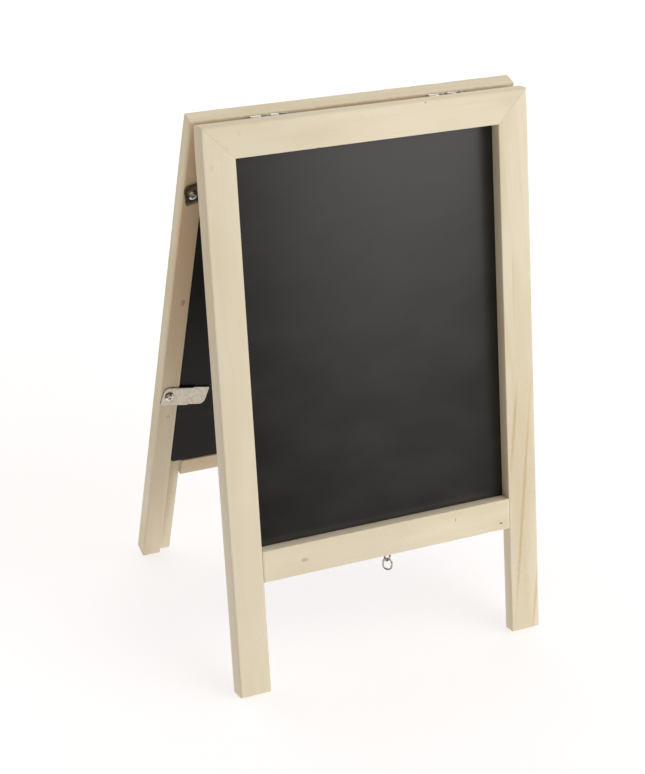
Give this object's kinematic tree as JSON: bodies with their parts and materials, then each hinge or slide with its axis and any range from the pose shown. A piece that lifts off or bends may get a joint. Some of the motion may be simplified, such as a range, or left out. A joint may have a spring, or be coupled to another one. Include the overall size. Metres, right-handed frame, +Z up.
{
  "type": "tabletop chalkboard easel",
  "caption": "Small double-sided chalkboard easel: rebated pine frames hinged along the top stand open as an A, each with a blackboard held in its rebate by swivelling steel clips.",
  "frame": {"origin": "on the table, in the middle of the four feet, under the hinge pins", "axes": "+Z up, +X along the hinge pins to the right as the front board is read, -Y out of the front board"},
  "size_m": [0.2602, 0.227, 0.4234],
  "materials": {
    "pine": "bare sanded pine",
    "blackboard": "matt blackboard paint on hardboard",
    "clip_steel": "satin zinc-plated steel",
    "screw_steel": "bright zinc-plated steel",
    "hinge_steel": "satin zinc-plated steel",
    "ring_steel": "bright nickel-plated steel wire",
    "beech": "bare beech dowel"
  },
  "bodies": {
    "front_frame": {"front_left_stile": "pine", "front_right_stile": "pine", "front_top_rail": "pine", "front_bottom_rail": "pine", "front_chalkboard": "blackboard", "front_left_hinge_leaf": "hinge_steel", "front_right_hinge_leaf": "hinge_steel", "front_corner_wedges": "hinge_steel", "front_rail_dowels": "beech", "front_clip_screws": "screw_steel", "front_hinge_screws": "screw_steel", "left_hinge_pin": "hinge_steel", "right_hinge_pin": "hinge_steel", "screw_eye": "ring_steel"},
    "rear_frame": {"rear_left_stile": "pine", "rear_right_stile": "pine", "rear_top_rail": "pine", "rear_bottom_rail": "pine", "rear_chalkboard": "blackboard", "rear_left_hinge_leaf": "hinge_steel", "rear_right_hinge_leaf": "hinge_steel", "rear_corner_wedges": "hinge_steel", "rear_rail_dowels": "beech", "rear_clip_screws": "screw_steel", "rear_hinge_screws": "screw_steel"},
    "front_upper_left_clip": {"front_upper_left_clip": "clip_steel"},
    "front_upper_right_clip": {"front_upper_right_clip": "clip_steel"},
    "front_lower_left_clip": {"front_lower_left_clip": "clip_steel"},
    "front_lower_right_clip": {"front_lower_right_clip": "clip_steel"},
    "rear_upper_left_clip": {"rear_upper_left_clip": "clip_steel"},
    "rear_upper_right_clip": {"rear_upper_right_clip": "clip_steel"},
    "rear_lower_left_clip": {"rear_lower_left_clip": "clip_steel"},
    "rear_lower_right_clip": {"rear_lower_right_clip": "clip_steel"},
    "ring": {"ring": "ring_steel"}
  },
  "joints": [
    {"name": "fold", "type": "hinge", "parent": "front_frame", "child": "rear_frame", "pos_m": [0, 0, 0.41905], "axis": [1, 0, 0], "range_deg": [-26.2, 114]},
    {"name": "front_upper_left_swivel", "type": "hinge", "parent": "front_frame", "child": "front_upper_left_clip", "pos_m": [-0.1231, -0.02288, 0.32909], "axis": [0, 0.974, -0.2267], "range_deg": [-32, 40]},
    {"name": "front_upper_right_swivel", "type": "hinge", "parent": "front_frame", "child": "front_upper_right_clip", "pos_m": [0.1231, -0.02288, 0.32909], "axis": [0, 0.974, -0.2267], "range_deg": [-44, 28]},
    {"name": "front_lower_left_swivel", "type": "hinge", "parent": "front_frame", "child": "front_lower_left_clip", "pos_m": [-0.1231, -0.05189, 0.20442], "axis": [0, 0.974, -0.2267], "range_deg": [-42, 30]},
    {"name": "front_lower_right_swivel", "type": "hinge", "parent": "front_frame", "child": "front_lower_right_clip", "pos_m": [0.1231, -0.05189, 0.20442], "axis": [0, 0.974, -0.2267], "range_deg": [-31, 41]},
    {"name": "rear_upper_left_swivel", "type": "hinge", "parent": "rear_frame", "child": "rear_upper_left_clip", "pos_m": [0.1231, 0.01552, 0.36074], "axis": [0, -0.974, -0.2267], "range_deg": [-31, 41]},
    {"name": "rear_upper_right_swivel", "type": "hinge", "parent": "rear_frame", "child": "rear_upper_right_clip", "pos_m": [-0.1231, 0.01552, 0.36074], "axis": [0, -0.974, -0.2267], "range_deg": [-48, 24]},
    {"name": "rear_lower_left_swivel", "type": "hinge", "parent": "rear_frame", "child": "rear_lower_left_clip", "pos_m": [0.1231, 0.05926, 0.17277], "axis": [0, -0.974, -0.2267], "range_deg": [-43, 29]},
    {"name": "rear_lower_right_swivel", "type": "hinge", "parent": "rear_frame", "child": "rear_lower_right_clip", "pos_m": [-0.1231, 0.05926, 0.17277], "axis": [0, -0.974, -0.2267], "range_deg": [-24.8, 47.2]},
    {"name": "ring_swing", "type": "hinge", "parent": "front_frame", "child": "ring", "pos_m": [0.00177, -0.0865, 0.07948], "axis": [0.9095, 0.4157, 0], "range_deg": [-80, 80]}
  ]
}
